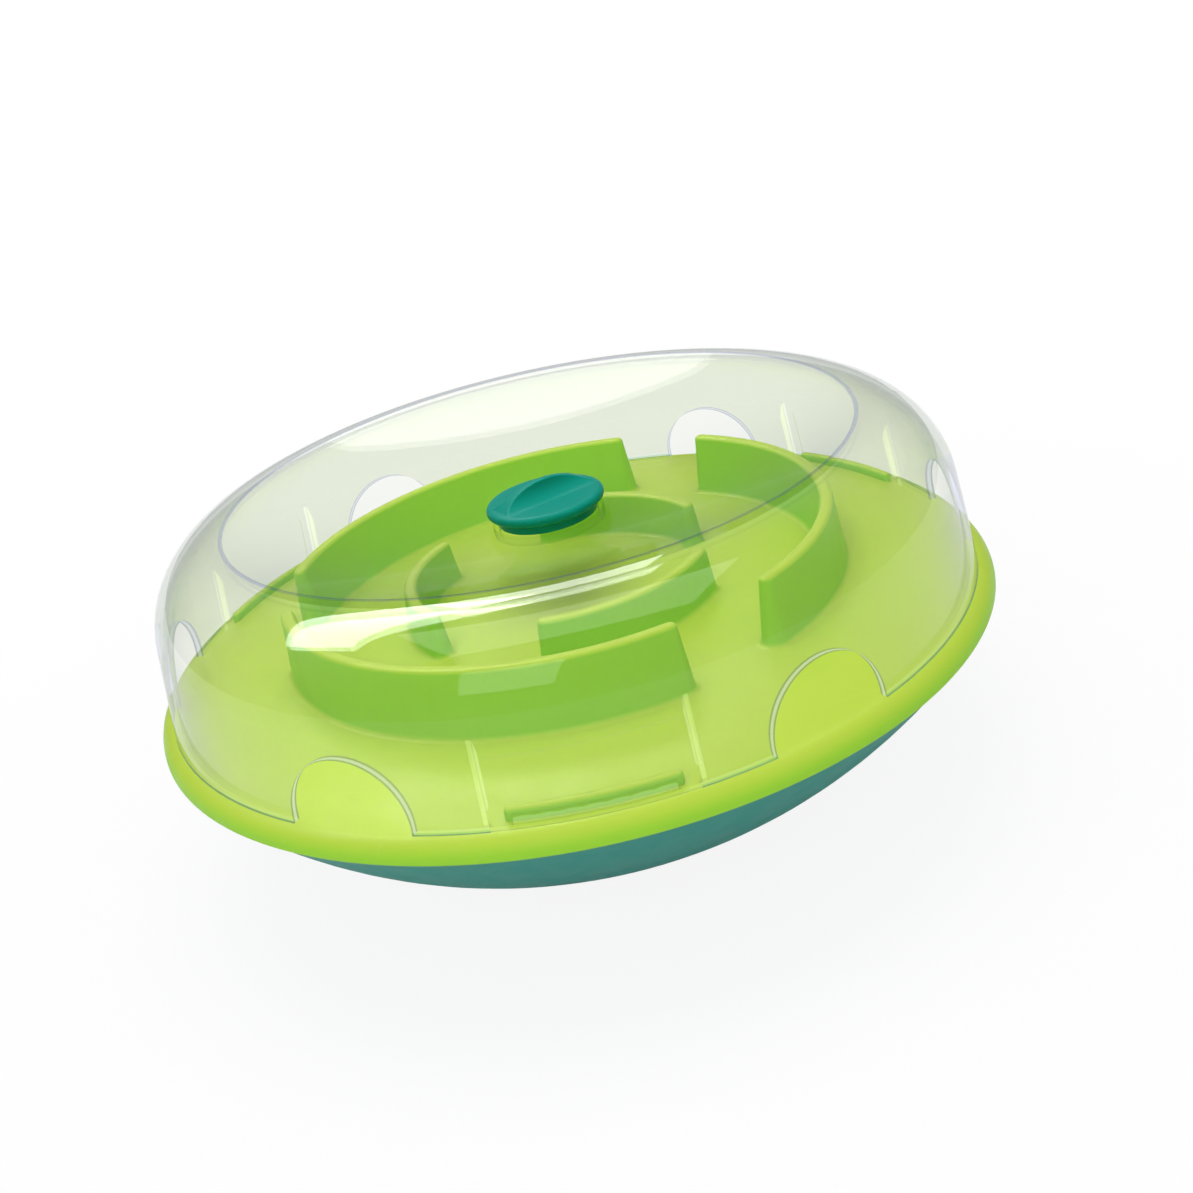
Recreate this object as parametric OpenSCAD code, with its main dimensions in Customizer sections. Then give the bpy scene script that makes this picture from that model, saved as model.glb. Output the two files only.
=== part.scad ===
// Treat dispensing wobble toy: a weighted rocker bowl that carries a maze tray, under a clear
// dished lid with treat arches round its foot and a push-in plug in its filling hole.
// +Z is up, the origin is the middle of the flat foot, and the front of the toy faces -Y.

/* [Rocker bowl] */
// Height of the rocker bowl, from its foot to its rim under the tray's flange
base_h = 66; // [58:1:74]
// Diameter of the flat foot that the toy comes to rest on
foot_d = 64; // [52:1:76]
// Wall of the rocker bowl
base_wall = 3; // [2.4:0.1:3.8]
// Floor of the rocker bowl over the foot
base_floor = 3.5; // [3:0.1:5]

/* [Ballast] */
// Diameter of the ballast disc
ballast_d = 90; // [76:1:104]
// Thickness of the ballast disc
ballast_t = 11; // [6:0.5:16]
// Gap between the rim of the ballast disc and the bowl
ballast_gap = 1.5; // [1:0.1:3]
// Diameter of the circle through the ballast screws
ballast_pcd = 52; // [44:1:58]
// Number of ballast screws
ballast_screw_count = 3; // [3:1:4]

/* [Screws] */
// Shank diameter of the self-tapping screws
screw_d = 4; // [3.4:0.1:4.4]
// Head diameter of the screws
screw_head_d = 7.6; // [7:0.1:8.4]
// Height of the screw heads
screw_head_h = 2.8; // [2.2:0.1:3.4]
// Gap between a shank and the hole that it bites into
thread_gap = 0.05; // [0.02:0.01:0.1]
// Gap round a shank or a head that passes freely
screw_clear = 0.4; // [0.3:0.1:0.6]
// Outer diameter of the washers
washer_d = 10; // [9:0.5:12]
// Thickness of the washers
washer_t = 1; // [0.6:0.1:1.6]
// Number of screws that hold the tray to the bowl
tray_screw_count = 6; // [3:1:6]
// Diameter of the circle through the tray screws
tray_screw_pcd = 142; // [136:1:148]
// Plastic under the heads of the tray screws
screw_ledge = 3; // [2.4:0.2:4]
// Length of each tray screw inside the tray
tray_bite = 7.5; // [6:0.5:9]
// Wall of the posts and bosses round the screws
post_wall = 2.4; // [2:0.1:3]

/* [Tray] */
// Diameter across the rounded flange
flange_d = 280; // [264:1:300]
// Height of the rounded flange above the bowl's rim
flange_h = 6.5; // [5.8:0.1:8]
// Height of the straight edge of the flange, below its rounding
flange_edge = 0.7; // [0.4:0.1:1.2]
// Distance that the flange stands out past the bowl's rim
flange_overhang = 1.8; // [1:0.1:2.4]
// Gap between the bowl's rim and the edge of the flange above it
lip_gap = 0.3; // [0.2:0.05:0.5]
// Wall of the tray
tray_t = 3; // [2.4:0.1:3.6]
// Rise of the maze floor above the flange
floor_rise = 3.6; // [2.4:0.1:4.2]
// Gap between the bowl's spigot and the edge of the flange round it
rim_gap = 0.25; // [0.1:0.05:0.5]
// Number of lugs that index the lid
lug_count = 3; // [3:1:3]
// Angle that each lug takes up
lug_span = 21; // [16:0.2:22]
// Height of the lugs above the maze floor
lug_h = 0.2; // [0.1:0.1:1.5]
// Depth of the lugs, inwards from their outer face
lug_w = 5; // [4:0.5:6]
// Distance that the lugs stand out past the foot of the maze floor's edge
lug_proud = 0.3; // [0.2:0.1:0.6]

/* [Maze] */
// Thickness of the maze walls at their crest
crest_t = 4.2; // [3.8:0.1:5.4]
// Rounding along the crest of the maze walls
crest_round = 1.5; // [0.8:0.1:1.8]
// Draft of the maze walls, in degrees
wall_draft = 6; // [4:0.5:9]
// Radius of the fillet where the maze walls meet the floor
foot_fillet = 1.6; // [0.8:0.1:2.4]
// Wall left round the hollow under each maze wall
maze_skin = 2.4; // [2:0.1:3]
// Number of walls in each ring
wall_count = 3; // [2:1:3]
// Middle radius of the outer ring
outer_ring_r = 90.5; // [86:0.5:94]
// Height of the outer ring above the maze floor
outer_ring_h = 21.6; // [18:0.2:24]
// Angle of each wall of the outer ring, along its crest
outer_span = 100; // [80:1:104]
// Turn of the outer ring
outer_turn = 0; // [-30:1:30]
// Middle radius of the inner ring
inner_ring_r = 50.5; // [46:0.5:54]
// Height of the inner ring above the maze floor
inner_ring_h = 15; // [12:0.5:18]
// Angle of each wall of the inner ring, along its crest
inner_span = 76; // [50:1:84]
// Turn of the inner ring
inner_turn = 58; // [0:0.5:90]

/* [Lid] */
// Wall of the clear lid
lid_t = 2.5; // [2:0.1:3]
// Distance from the flange's edge to the outside of the lid's foot
lid_inset = 4.8; // [4.2:0.1:6]
// Height of the lid's ridge above the flange
lid_h = 53.4; // [48:0.2:58]
// Radius of the rounded shoulder
shoulder_r = 28.2; // [25:0.2:29]
// Distance from the outside of the lid's foot in to the ridge
ridge_inset = 31.6; // [30.4:0.2:36]
// Width of the flat along the ridge
ridge_flat = 0.6; // [0.3:0.1:1.2]
// Depth of the dished top, from the ridge to the middle
dish_depth = 18.4; // [14:0.2:20]
// Gap between the lid's foot and the edge of the maze floor
lid_gap = 1.6; // [1.2:0.1:2.4]
// Angle from the middle of a lug to the treat arch on each side of it
arch_angle = 29.4; // [26:0.2:32]
// Width of each treat arch
arch_w = 39; // [28:1:42]
// Straight height of an arch's legs, below its round top
arch_leg = 1.5; // [0.5:0.5:6]
// Angle from the middle of a lug to the rib beside it
rib_angle = 12.6; // [11.8:0.1:14]
// Thickness of the ribs
rib_t = 1.6; // [1.2:0.1:2]
// Depth of the ribs, inwards from the lid's wall
rib_depth = 3; // [2:0.1:4]
// Height of the ribs' points above the flange
rib_h = 25.5; // [20:0.5:30]
// Height of the ribs' sloping points
rib_point_h = 6; // [3:0.5:10]
// Gap between the ribs and the maze floor
rib_gap = 0.6; // [0.4:0.1:1.5]
// Height of the shallow panel between the two ribs beside a lug
panel_h = 20.5; // [16:0.5:24]
// Depth of the panels in the outside of the lid
panel_depth = 0.4; // [0.2:0.1:0.8]
// Rounding of the panels' upper corners
panel_round = 3; // [1:0.5:5]
// Distance from a rib to the edge of the panel beside it
panel_margin = 1; // [0.4:0.1:2]
// Angle that each grip bead in front of a lug takes up
bead_span = 19; // [12:0.2:20]
// Height of the grip beads
bead_h = 2.8; // [1.6:0.1:4]
// Gap between a grip bead and its lug
bead_gap = 0.4; // [0.3:0.1:0.8]

/* [Plug] */
// Diameter of the plug's disc
plug_d = 39.6; // [37:0.2:46]
// Thickness of the plug's disc
plug_disc_t = 3.6; // [3:0.1:5]
// Diameter of the plug's neck
neck_d = 33.2; // [28:0.2:34]
// Length of the plug's neck
neck_h = 3.4; // [2.6:0.2:6]
// Wall of the plug's hollow neck
neck_wall = 2; // [1.6:0.1:3]
// Gap between the neck and the collar of the filling hole
neck_gap = 0.3; // [0.2:0.05:0.5]
// Wall of the collar under the lid
collar_t = 1.8; // [1.4:0.1:2.4]
// Length of the collar below its seat
collar_h = 6.2; // [5:0.2:8]
// Flat seat left round the plug's disc
seat_margin = 0.8; // [0.5:0.1:2]
// Length of the pinch fin along the disc
fin_l = 34; // [28:0.5:36]
// Height of the pinch fin in its middle
fin_h = 6; // [4:0.5:8]
// Thickness of the pinch fin along its crest
fin_t = 2.6; // [2:0.1:4]
// Turn of the pinch fin
fin_turn = 28; // [0:1:90]

/* [Hidden] */
$fn = 180;

// Overlap that lets a cut run past the face it starts from
past = 1;
// Overlap by which a rounding crosses the faces that it runs into
seam = 0.02;

// Radii of the flange and of what meets it
flange_r = flange_d / 2;
flange_round = flange_h - lip_gap - flange_edge;
rolled_r = flange_r - flange_round;
spigot_r = flange_r - tray_t - rim_gap;
base_r = flange_r - flange_overhang;

// Levels from the foot up
lip_z = base_h + lip_gap;
rim_z = base_h + flange_h;
rolled_z = rim_z - flange_round;
tray_under_z = rim_z - tray_t;
floor_z = rim_z + floor_rise;
floor_under_z = floor_z - tray_t;

// The bowl is a ball cut flat at the foot: its middle is as far from the foot's edge as from the rim
ball_z = (pow(base_r, 2) + pow(base_h, 2) - pow(foot_d / 2, 2)) / (2 * base_h);
ball_r = norm([foot_d / 2, ball_z]);
hollow_r = ball_r - base_wall;
function hollow_z(r) = ball_z - sqrt(pow(hollow_r, 2) - pow(r, 2));

// Ballast: the lowest place where the disc clears the bowl by its gap
ballast_r = ballast_d / 2;
ballast_z = max(hollow_z(ballast_r + ballast_gap), base_floor + past);
ballast_top_z = ballast_z + ballast_t;
ballast_screw_floor = base_floor / 2;
ballast_boss_d = screw_d + 2 * post_wall;
ballast_screw_l = ballast_t + washer_t + ballast_z - ballast_screw_floor - past / 2;

// Screws of the tray: each head sits on a ledge inside a post that meets a boss under the tray
post_top_z = base_h - screw_ledge;
well_d = screw_head_d + 2 * screw_clear;
post_d = well_d + 2 * post_wall;
boss_d = screw_d + 2 * post_wall + 2 * thread_gap;

// Lid: the straight wall runs from the foot and touches the shoulder's arc at wall_lean above level
lid_r = flange_r - lid_inset;
ridge_r = lid_r - ridge_inset;
ridge_z = rim_z + lid_h;
shoulder_z = ridge_z - shoulder_r;
foot_to_arc = norm([ridge_inset, shoulder_z - rim_z]);
wall_lean = acos(shoulder_r / foot_to_arc) - atan2(shoulder_z - rim_z, ridge_inset);
lid_inner_r = lid_r - lid_t / cos(wall_lean);
floor_edge_r = lid_inner_r - lid_gap;
lug_face_r = floor_edge_r + lug_proud;
function lid_wall_r(z) = lid_inner_r - (z - rim_z) * tan(wall_lean);

// Dish: one ball's surface above, and one about the same middle below that keeps the ridge lid_t thick
dish_r = (pow(ridge_r, 2) + pow(dish_depth, 2)) / (2 * dish_depth);
dish_z = ridge_z - dish_depth + dish_r;
dish_under_r = norm([ridge_r, dish_z - ridge_z + lid_t]);

// Filling hole and plug
plug_r = plug_d / 2;
neck_r = neck_d / 2;
hole_r = neck_r + neck_gap;
collar_r = hole_r + collar_t;
seat_r = max(plug_r, collar_r) + seat_margin;
seat_z = dish_z - sqrt(pow(dish_r, 2) - pow(seat_r, 2));
plug_top_z = seat_z + plug_disc_t;
plug_round = plug_disc_t / 2;

// A lug stands at the front of the toy, and the other lugs, the ribs and the arches follow from it
front_angle = -90;

// Colours
teal = [0.22, 0.58, 0.54];
lime = [0.66, 0.82, 0.28];
clear = [0.85, 0.90, 0.86, 0.35];
steel = [0.72, 0.73, 0.75];
iron = [0.30, 0.31, 0.32];

// Copies of the children at equal steps round the axis
module ring_of(count, first = 0) {
    for (i = [0 : count - 1]) {
        rotate([0, 0, first + i * 360 / count]) children();
    }
}

// Copies of the children on both sides of every lug
module beside_lugs(angle) {
    for (side = [-1, 1]) {
        ring_of(lug_count, front_angle + side * angle) children();
    }
}

// A stretch of a turned shape, centred on +X
module swept(span) {
    rotate([0, 0, -span / 2]) rotate_extrude(angle = span) children();
}

// Everything of a section that lies between two levels and inside a radius
module band(r, low, high) {
    intersection() {
        children();
        translate([0, low]) square([r, high - low]);
    }
}

// Self-tapping screw with a cross recess: the head's seat is at the origin and the point is below
module screw(length) {
    point_h = screw_d;
    slot_w = screw_head_d / 6;
    slot_l = screw_head_d * 0.55;
    difference() {
        cylinder(d = screw_head_d, h = screw_head_h);
        for (turn = [0, 90]) {
            rotate([0, 0, turn]) translate([0, 0, screw_head_h]) {
                cube([slot_l, slot_w, screw_head_h], center = true);
            }
        }
    }
    translate([0, 0, point_h - length]) cylinder(d = screw_d, h = length - point_h);
    translate([0, 0, -length]) cylinder(d1 = screw_d / 8, d2 = screw_d, h = point_h);
}

// Outline of the flange's rounded edge, or of one that lies inset from it
module flange_fill(inset, beyond) {
    r = flange_round - inset;
    left = rolled_r - past - beyond;
    low = lip_z - beyond;
    polygon([[left, low], [rolled_r + r, low], [rolled_r + r, rolled_z], [rolled_r, rolled_z + r],
             [left, rolled_z + r]]);
    intersection() {
        translate([rolled_r, rolled_z]) circle(r = r);
        translate([left, low]) square([flange_r, flange_h + beyond]);
    }
}

// Rocker bowl: a ball with a spigot that fits inside the flange
module ball_section(r) {
    translate([0, ball_z]) circle(r = r);
}

module bowl_section() {
    band(base_r, 0, base_h) ball_section(ball_r);
    flange_fill(tray_t + rim_gap, past);
}

module bowl_hollow_section() {
    band(base_r, base_floor, base_h) ball_section(hollow_r);
    translate([0, base_h - past]) square([spigot_r - base_wall, flange_h]);
}

module bowl_posts() {
    ring_of(tray_screw_count, front_angle) {
        translate([tray_screw_pcd / 2, 0, 0]) cylinder(d = post_d, h = post_top_z);
    }
    ring_of(ballast_screw_count, front_angle) {
        translate([ballast_pcd / 2, 0, 0]) cylinder(d = ballast_boss_d, h = ballast_z);
    }
}

module bowl_screw_holes() {
    ring_of(tray_screw_count, front_angle) translate([tray_screw_pcd / 2, 0, 0]) {
        translate([0, 0, -past]) cylinder(d = well_d, h = post_top_z - screw_ledge + past);
        cylinder(d = screw_d + 2 * screw_clear, h = post_top_z + past);
    }
    ring_of(ballast_screw_count, front_angle) translate([ballast_pcd / 2, 0, ballast_screw_floor]) {
        cylinder(d = screw_d + 2 * thread_gap, h = ballast_z);
    }
}

module base_shell() {
    color(teal) difference() {
        union() {
            rotate_extrude() difference() {
                bowl_section();
                bowl_hollow_section();
            }
            intersection() {
                rotate_extrude() bowl_section();
                bowl_posts();
            }
        }
        bowl_screw_holes();
    }
}

// Ballast and what holds it
module ballast_weight() {
    color(iron) translate([0, 0, ballast_z]) difference() {
        cylinder(r = ballast_r, h = ballast_t);
        ring_of(ballast_screw_count, front_angle) translate([ballast_pcd / 2, 0, -past]) {
            cylinder(d = screw_d + 2 * screw_clear, h = ballast_t + 2 * past);
        }
    }
}

module ballast_washers() {
    color(steel) ring_of(ballast_screw_count, front_angle) {
        translate([ballast_pcd / 2, 0, ballast_top_z]) difference() {
            cylinder(d = washer_d, h = washer_t);
            translate([0, 0, -past]) cylinder(d = screw_d + screw_clear, h = washer_t + 2 * past);
        }
    }
}

module ballast_screws() {
    color(steel) ring_of(ballast_screw_count, front_angle) {
        translate([ballast_pcd / 2, 0, ballast_top_z + washer_t]) screw(ballast_screw_l);
    }
}

module tray_screws() {
    color(steel) ring_of(tray_screw_count, front_angle) {
        translate([tray_screw_pcd / 2, 0, post_top_z - screw_ledge]) {
            rotate([180, 0, 0]) screw(screw_ledge + tray_bite);
        }
    }
}

// Tray: a plate with a raised floor and a flange that is rolled down round the bowl's spigot
module tray_section() {
    step_r = floor_edge_r - floor_rise;
    translate([0, floor_under_z]) square([step_r, tray_t]);
    translate([step_r - tray_t, tray_under_z]) square([tray_t, floor_z - tray_under_z]);
    translate([step_r - tray_t, tray_under_z]) square([rolled_r - step_r + tray_t, tray_t]);
    band(floor_edge_r, tray_under_z, floor_z) translate([step_r, rim_z]) circle(r = floor_rise);
    difference() {
        flange_fill(0, 0);
        flange_fill(tray_t, past);
    }
}

// Section of a maze wall about its middle: straight drafted sides and a rounded crest
module wall_section(height) {
    crest_half = crest_t / 2;
    foot_half = crest_half + height * tan(wall_draft);
    corner = crest_round / tan(45 + wall_draft / 2);
    side_half = crest_half + corner * sin(wall_draft);
    side_z = height - corner * cos(wall_draft);
    top_half = crest_half - corner;
    polygon([[-foot_half, -past], [foot_half, -past], [foot_half, 0], [side_half, side_z],
             [top_half, height], [-top_half, height], [-side_half, side_z], [-foot_half, 0]]);
    for (side = [-1, 1]) {
        translate([side * top_half, height - crest_round]) circle(r = crest_round + seam);
        scale([side, 1]) foot_fillet_section(foot_half);
    }
}

// Section of the fillet between the floor and a drafted side that starts at the given half width
module foot_fillet_section(foot_half) {
    reach = foot_fillet * tan(45 - wall_draft / 2);
    on_side = [foot_half - reach * sin(wall_draft), reach * cos(wall_draft)];
    difference() {
        polygon([[foot_half - reach, -past], [foot_half + reach, -past], [foot_half + reach, 0], on_side]);
        translate([foot_half + reach, foot_fillet]) circle(r = foot_fillet + seam);
    }
}

// Section of the hollow under a maze wall, open through the tray's floor
module core_section(height) {
    tip_half = 0.5;
    foot_half = crest_t / 2 + height * tan(wall_draft) - maze_skin;
    mouth_z = -tray_t - past;
    mouth_half = foot_half - mouth_z * tan(wall_draft);
    tip_z = min(height - maze_skin, (foot_half - tip_half) / tan(wall_draft));
    top_half = foot_half - tip_z * tan(wall_draft);
    polygon([[-mouth_half, mouth_z], [mouth_half, mouth_z], [top_half, tip_z], [-top_half, tip_z]]);
}

// Rounded end of a wall: half of its section turned half round about an upright
module wall_end(ring_r, height, side) {
    translate([ring_r, 0, 0]) rotate_extrude(angle = side * 180) intersection() {
        wall_section(height);
        translate([0, -past]) square([crest_t + height, height + 2 * past]);
    }
}

module maze_ring(ring_r, height, span, turn) {
    half_span = span / 2 - atan2(crest_t / 2, ring_r);
    ring_of(wall_count, turn) {
        swept(2 * half_span) translate([ring_r, 0]) wall_section(height);
        for (side = [-1, 1]) rotate([0, 0, side * half_span]) wall_end(ring_r, height, side);
    }
}

module maze_ring_hollow(ring_r, height, span, turn) {
    ring_of(wall_count, turn) {
        swept(span - 2 * atan2(maze_skin, ring_r)) translate([ring_r, 0]) core_section(height);
    }
}

module tray_lugs() {
    ring_of(lug_count, front_angle) swept(lug_span) {
        translate([lug_face_r - lug_w, rim_z - past]) square([lug_w, floor_rise + lug_h + past]);
    }
}

module tray_bosses() {
    ring_of(tray_screw_count, front_angle) translate([tray_screw_pcd / 2, 0, post_top_z]) {
        difference() {
            cylinder(d = boss_d, h = floor_under_z - post_top_z + past);
            translate([0, 0, -past]) cylinder(d = screw_d + 2 * thread_gap, h = tray_bite + 2 * past);
        }
    }
}

module maze_tray() {
    color(lime) {
        difference() {
            union() {
                rotate_extrude() tray_section();
                translate([0, 0, floor_z]) {
                    maze_ring(outer_ring_r, outer_ring_h, outer_span, outer_turn);
                    maze_ring(inner_ring_r, inner_ring_h, inner_span, inner_turn);
                }
                tray_lugs();
            }
            translate([0, 0, floor_z]) {
                maze_ring_hollow(outer_ring_r, outer_ring_h, outer_span, outer_turn);
                maze_ring_hollow(inner_ring_r, inner_ring_h, inner_span, inner_turn);
            }
        }
        tray_bosses();
    }
}

// Lid: a leaning wall runs into a round shoulder, which meets a dished top at a crisp ridge
module lid_side_fill(inset, beyond) {
    r = shoulder_r - inset;
    left = ridge_r - ridge_flat - beyond;
    low = rim_z - beyond;
    foot = [lid_r - inset / cos(wall_lean) + beyond * tan(wall_lean), low];
    touch = [ridge_r, shoulder_z] + r * [cos(wall_lean), sin(wall_lean)];
    polygon([[left, low], foot, touch, [left, shoulder_z]]);
    intersection() {
        translate([ridge_r, shoulder_z]) circle(r = r);
        translate([left, low]) square([lid_r, lid_h + 2 * beyond]);
    }
}

module lid_side_section() {
    difference() {
        lid_side_fill(0, 0);
        lid_side_fill(lid_t, past);
    }
}

module lid_dish_section() {
    band(ridge_r, rim_z, ridge_z) translate([0, dish_z]) difference() {
        circle(r = dish_under_r);
        circle(r = dish_r);
    }
}

module lid_collar_section() {
    translate([0, seat_z - lid_t]) square([seat_r, lid_t]);
    translate([0, seat_z - collar_h]) square([collar_r, collar_h]);
}

module lid_arches() {
    reach = 2 * ridge_inset;
    beside_lugs(arch_angle) translate([lid_r - reach / 2, 0, rim_z + arch_leg]) {
        rotate([0, 90, 0]) cylinder(d = arch_w, h = reach);
        translate([0, -arch_w / 2, -arch_leg - past]) cube([reach, arch_w, arch_leg + past]);
    }
}

// Rib upright on the inside of the lid's wall: it steps back past the floor's edge and has a sloping point
module lid_rib() {
    step_z = floor_z + rib_gap;
    foot_r = floor_edge_r + bead_gap;
    point_z = rim_z + rib_h;
    slope_z = point_z - rib_point_h;
    rotate([90, 0, 0]) linear_extrude(height = rib_t, center = true) {
        polygon([[lid_wall_r(rim_z) + lid_t / 2, rim_z], [foot_r, rim_z], [foot_r, step_z],
                 [lid_wall_r(step_z) - rib_depth, step_z], [lid_wall_r(slope_z) - rib_depth, slope_z],
                 [lid_wall_r(point_z), point_z], [lid_wall_r(point_z) + lid_t / 2, point_z]]);
    }
}

// Bead round the inside of the lid's foot that grips a lug's outer face
module lid_bead() {
    bead_r = lug_face_r + bead_gap;
    bead_w = lid_wall_r(rim_z + bead_h) + lid_t / 2 - bead_r;
    swept(bead_span) translate([bead_r, rim_z]) square([bead_w, bead_h]);
}

// Shallow panel in the outside of the lid's wall, between the ribs beside a lug
module lid_panel() {
    half_w = lid_r * sin(rib_angle) - rib_t / 2 - panel_margin;
    corner_w = half_w - panel_round;
    intersection() {
        rotate_extrude() difference() {
            lid_side_fill(-past, past);
            lid_side_fill(panel_depth, 2 * past);
        }
        rotate([90, 0, 90]) translate([0, rim_z - 2 * past]) linear_extrude(height = flange_r) {
            translate([-half_w, 0]) square([2 * half_w, panel_h - panel_round + 2 * past]);
            translate([-corner_w, 0]) square([2 * corner_w, panel_h + 2 * past]);
            for (side = [-1, 1]) {
                translate([side * corner_w, panel_h - panel_round + 2 * past]) circle(r = panel_round);
            }
        }
    }
}

module dome_lid() {
    color(clear) {
        difference() {
            rotate_extrude() {
                lid_side_section();
                lid_dish_section();
                lid_collar_section();
            }
            lid_arches();
            ring_of(lug_count, front_angle) lid_panel();
            translate([0, 0, seat_z - collar_h - past]) cylinder(r = hole_r, h = collar_h + lid_h);
        }
        beside_lugs(rib_angle) lid_rib();
        ring_of(lug_count, front_angle) lid_bead();
    }
}

// Plug: a round-edged disc with an arched pinch fin above and a hollow neck below
module plug_section() {
    translate([0, seat_z]) square([plug_r - plug_round, plug_disc_t]);
    translate([plug_r - plug_round, seat_z + plug_round]) circle(r = plug_round);
    translate([neck_r - neck_wall, seat_z - neck_h]) square([neck_wall, neck_h + plug_round]);
}

// Pinch fin: hollow-sided across, and one arc from end to end
module pinch_fin() {
    scoop_r = fin_h;
    arch_r = (pow(fin_l / 2, 2) + pow(fin_h, 2)) / (2 * fin_h);
    intersection() {
        rotate([90, 0, 90]) linear_extrude(height = fin_l, center = true) difference() {
            translate([-fin_t / 2 - scoop_r, -plug_round]) {
                square([fin_t + 2 * scoop_r, plug_round + fin_h]);
            }
            for (side = [-1, 1]) {
                translate([side * (fin_t / 2 + scoop_r), scoop_r]) circle(r = scoop_r);
            }
        }
        translate([0, 0, fin_h - arch_r]) rotate([90, 0, 0]) {
            cylinder(r = arch_r, h = plug_d, center = true);
        }
    }
}

module fill_plug() {
    color(teal) {
        rotate_extrude() plug_section();
        translate([0, 0, plug_top_z]) rotate([0, 0, fin_turn]) pinch_fin();
    }
}

base_shell();
ballast_weight();
ballast_washers();
ballast_screws();
maze_tray();
tray_screws();
dome_lid();
fill_plug();
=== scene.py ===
"""Looks of a treat dispensing wobble toy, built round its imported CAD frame.

The rocker bowl, the clear lid and the hidden hardware keep their CAD meshes and are dressed here. The
maze tray and the filling plug are modelled again with softly rounded mouldings. Lengths are written in
millimetres and made metres where a mesh is drawn.
"""

import logging
import math
from dataclasses import dataclass, field
from enum import Enum
from typing import Callable, Sequence

import bpy
from mathutils import Matrix, Vector


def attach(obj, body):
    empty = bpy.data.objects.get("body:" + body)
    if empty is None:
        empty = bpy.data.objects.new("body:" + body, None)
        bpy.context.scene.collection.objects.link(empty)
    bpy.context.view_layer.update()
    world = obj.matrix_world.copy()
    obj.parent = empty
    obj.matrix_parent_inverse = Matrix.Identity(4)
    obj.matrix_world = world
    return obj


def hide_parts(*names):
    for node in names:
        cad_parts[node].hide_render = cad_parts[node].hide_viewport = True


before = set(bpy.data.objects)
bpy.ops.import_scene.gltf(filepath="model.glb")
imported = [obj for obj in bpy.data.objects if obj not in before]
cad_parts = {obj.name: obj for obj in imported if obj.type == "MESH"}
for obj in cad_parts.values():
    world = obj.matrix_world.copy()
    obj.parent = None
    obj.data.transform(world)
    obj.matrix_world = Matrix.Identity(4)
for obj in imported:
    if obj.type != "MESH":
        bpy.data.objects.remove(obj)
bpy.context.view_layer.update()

LOG = logging.getLogger("wobble_toy")
MM = 0.001
MERGE_M = 2e-6
NOISE_RANGE = (0.3, 0.7)
Colour = tuple[float, float, float, float]
Point = tuple[float, float]


class Slot(Enum):
    """Material slots of the frame, named when new pieces are mounted."""

    TEAL = "teal_plastic"
    LIME = "lime_plastic"


class Body(Enum):
    """Bodies of the frame that new pieces ride on."""

    BASE = "base"
    PLUG = "plug"


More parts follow.
